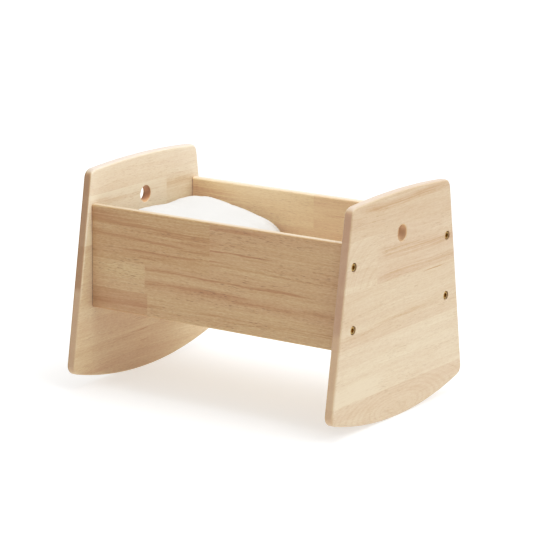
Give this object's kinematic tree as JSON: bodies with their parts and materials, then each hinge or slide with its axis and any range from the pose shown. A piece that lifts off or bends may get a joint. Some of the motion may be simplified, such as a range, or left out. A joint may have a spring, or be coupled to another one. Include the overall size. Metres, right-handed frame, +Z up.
{
  "type": "rocking cradle",
  "caption": "Small wooden rocking cradle: arched end panels with rocker feet and finger holes, straight side boards, a base, and a lift-out mattress and pillow.",
  "frame": {"origin": "on the floor, midway between the two end panels, at the lowest line of the rockers", "axes": "+X from the head end to the foot end, +Y to the rear side, which is the way it rocks, +Z up"},
  "size_m": [0.396, 0.298, 0.28],
  "materials": {
    "panel_wood": "clear satin lacquer on pale edge-glued hardwood",
    "board_wood": "clear satin lacquer on pale edge-glued hardwood",
    "plywood": "sanded thin plywood",
    "brass_plated_steel": "bright plating, dark socket",
    "zinc_plated_steel": "turned and zinc plated",
    "mattress_cotton": "plain white woven cotton",
    "pillow_cotton": "plain white woven cotton"
  },
  "bodies": {
    "cradle_frame": {"head_panel": "panel_wood", "foot_panel": "panel_wood", "front_side_board": "board_wood", "rear_side_board": "board_wood", "base_board": "plywood", "bolt_head_front_lower": "brass_plated_steel", "bolt_head_front_upper": "brass_plated_steel", "bolt_head_rear_lower": "brass_plated_steel", "bolt_head_rear_upper": "brass_plated_steel", "bolt_foot_front_lower": "brass_plated_steel", "bolt_foot_front_upper": "brass_plated_steel", "bolt_foot_rear_lower": "brass_plated_steel", "bolt_foot_rear_upper": "brass_plated_steel", "barrel_nut_head_front_lower": "zinc_plated_steel", "barrel_nut_head_front_upper": "zinc_plated_steel", "barrel_nut_head_rear_lower": "zinc_plated_steel", "barrel_nut_head_rear_upper": "zinc_plated_steel", "barrel_nut_foot_front_lower": "zinc_plated_steel", "barrel_nut_foot_front_upper": "zinc_plated_steel", "barrel_nut_foot_rear_lower": "zinc_plated_steel", "barrel_nut_foot_rear_upper": "zinc_plated_steel"},
    "mattress": {"mattress": "mattress_cotton"},
    "pillow": {"pillow": "pillow_cotton"}
  },
  "joints": [
    {"name": "mattress_lift", "type": "slide", "parent": "cradle_frame", "child": "mattress", "axis": [0, 0, 1], "range_m": [0, 0.18]},
    {"name": "pillow_lift", "type": "slide", "parent": "mattress", "child": "pillow", "axis": [0, 0, 1], "range_m": [0, 0.15]}
  ]
}
